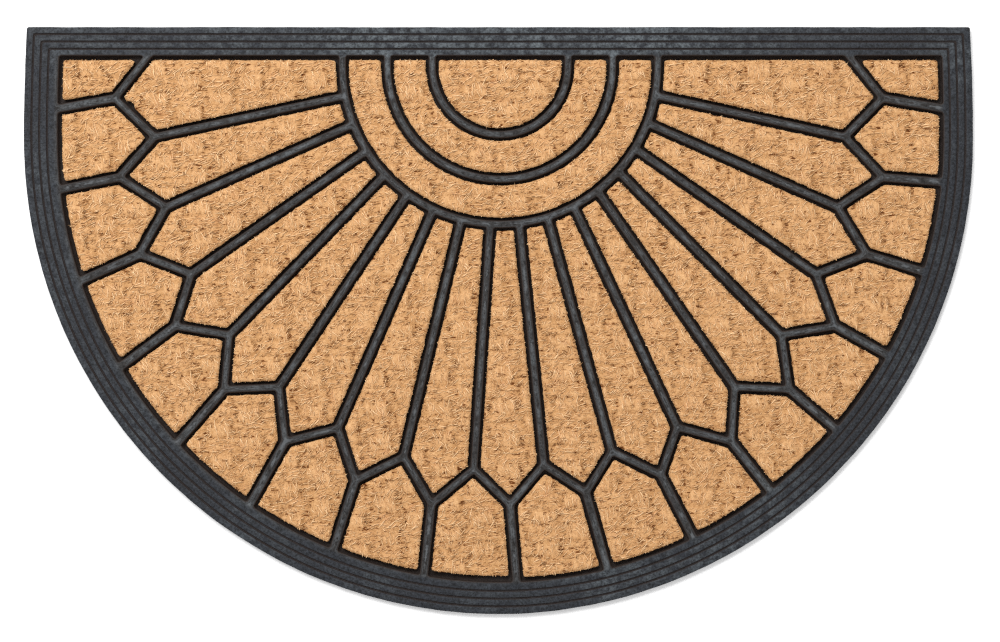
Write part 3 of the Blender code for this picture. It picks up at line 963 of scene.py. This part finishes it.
def fibre_tree(material):
    """Node tree that grows bent strands on a panel's mesh."""
    tree = bpy.data.node_groups.new("coir_fibres", "GeometryNodeTree")
    tree.interface.new_socket("Geometry", in_out="INPUT", socket_type="NodeSocketGeometry")
    for name, kind in FIBRE_SOCKETS:
        tree.interface.new_socket(name, in_out="INPUT", socket_type=kind)
    tree.interface.new_socket("Geometry", in_out="OUTPUT", socket_type="NodeSocketGeometry")
    group = tree.nodes.new("NodeGroupInput").outputs
    strands = straight_strands(tree, group, scattered_roots(tree, group))
    strands = draped(tree, group, bent_sideways(tree, group, strands))
    skin = skinned(tree, group, strands)
    skin = add_node(tree, "GeometryNodeRealizeInstances", {"Geometry": skin}).outputs["Geometry"]
    skin = add_node(tree, "GeometryNodeSetMaterial", {"Geometry": skin, "Material": material})
    output = tree.nodes.new("NodeGroupOutput")
    tree.links.new(skin.outputs["Geometry"], output.inputs["Geometry"])
    return tree


def grown(matting, tree, sizes, seed):
    """Mesh of the fibres that the tree grows on one panel with the sizes given."""
    ground = bpy.data.objects.new("ground", matting.data)
    bpy.context.scene.collection.objects.link(ground)
    modifier = ground.modifiers.new("fibres", "NODES")
    modifier.node_group = tree
    values = {**sizes, "Seed": seed}
    for item in tree.interface.items_tree:
        if item.in_out == "INPUT" and item.name in values:
            modifier[item.identifier] = values[item.name]
    view = bpy.context.evaluated_depsgraph_get()
    mesh = bpy.data.meshes.new_from_object(ground.evaluated_get(view), depsgraph=view)
    ground.modifiers.clear()
    bpy.data.objects.remove(ground)
    return mesh


def make_pile(matting, piece_name, tree, seed):
    """All the fibres of one panel: thick strands, finer fuzz and a few stray hairs at the edge."""
    joined = bmesh.new()
    for number, sizes in enumerate((STRANDS, FUZZ, STRAYS)):
        layer = grown(matting, tree, sizes, seed * 10 + number)
        joined.from_mesh(layer)
        material = layer.materials[0]
        bpy.data.meshes.remove(layer)
    mesh = bpy.data.meshes.new(piece_name)
    joined.to_mesh(mesh)
    joined.free()
    mesh.materials.append(material)
    pile = bpy.data.objects.new(piece_name, mesh)
    bpy.context.scene.collection.objects.link(pile)
    return pile


def make_floor(material):
    bpy.ops.mesh.primitive_plane_add(size=FLOOR_WIDTH, location=(0.0, 0.0, -FLOOR_DROP))
    floor = bpy.context.object
    floor.name = "studio_floor"
    floor.data.materials.append(material)


def make_camera():
    """A camera straight above the mat, and the settings of its picture."""
    lens = bpy.data.cameras.new("overhead_camera")
    lens.sensor_width = SENSOR_WIDTH
    lens.lens = SENSOR_WIDTH * (CAMERA_HEIGHT - RIB_HEIGHT) / VIEW_WIDTH
    camera = bpy.data.objects.new("overhead_camera", lens)
    camera.location = (*VIEW_MIDDLE, CAMERA_HEIGHT)
    bpy.context.scene.collection.objects.link(camera)
    bpy.context.scene.camera = camera
    bpy.context.scene.cycles.filter_width = FILTER_WIDTH
    bpy.context.scene.cycles.use_denoising = False


def make_light():
    """A white world, and a softbox up to the left beyond the straight edge."""
    world = bpy.data.worlds.new("soft_studio")
    world.use_nodes = True
    background = world.node_tree.nodes["Background"]
    background.inputs["Color"].default_value = (1.0, 1.0, 1.0, 1.0)
    background.inputs["Strength"].default_value = WORLD_STRENGTH
    bpy.context.scene.world = world
    lamp = bpy.data.lights.new("softbox", "AREA")
    lamp.shape = "RECTANGLE"
    lamp.size = SOFTBOX_WIDTH
    lamp.size_y = SOFTBOX_LENGTH
    lamp.energy = SOFTBOX_POWER
    softbox = bpy.data.objects.new("softbox", lamp)
    softbox.location = SOFTBOX_PLACE
    softbox.rotation_euler = (-softbox.location).to_track_quat("-Z", "Y").to_euler()
    bpy.context.scene.collection.objects.link(softbox)
    bpy.context.scene.view_settings.view_transform = "Standard"


def main():
    make_camera()
    make_light()
    make_floor(floor_finish())
    tray = make_tray(rubber_finish())
    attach(tray, "root")
    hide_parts("rubber_tray")
    matting_material = matting_finish()
    tree = fibre_tree(strand_finish())
    panels = sorted(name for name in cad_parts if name.startswith("coir_"))
    for number, node in enumerate(panels):
        name = node.removeprefix("coir_")
        matting, edge = make_matting(node, "matting_" + name, matting_material)
        pile = make_pile(matting, "fibres_" + name, tree, number + 1)
        for piece in (matting, pile):
            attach(piece, "root")
        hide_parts(node)


main()
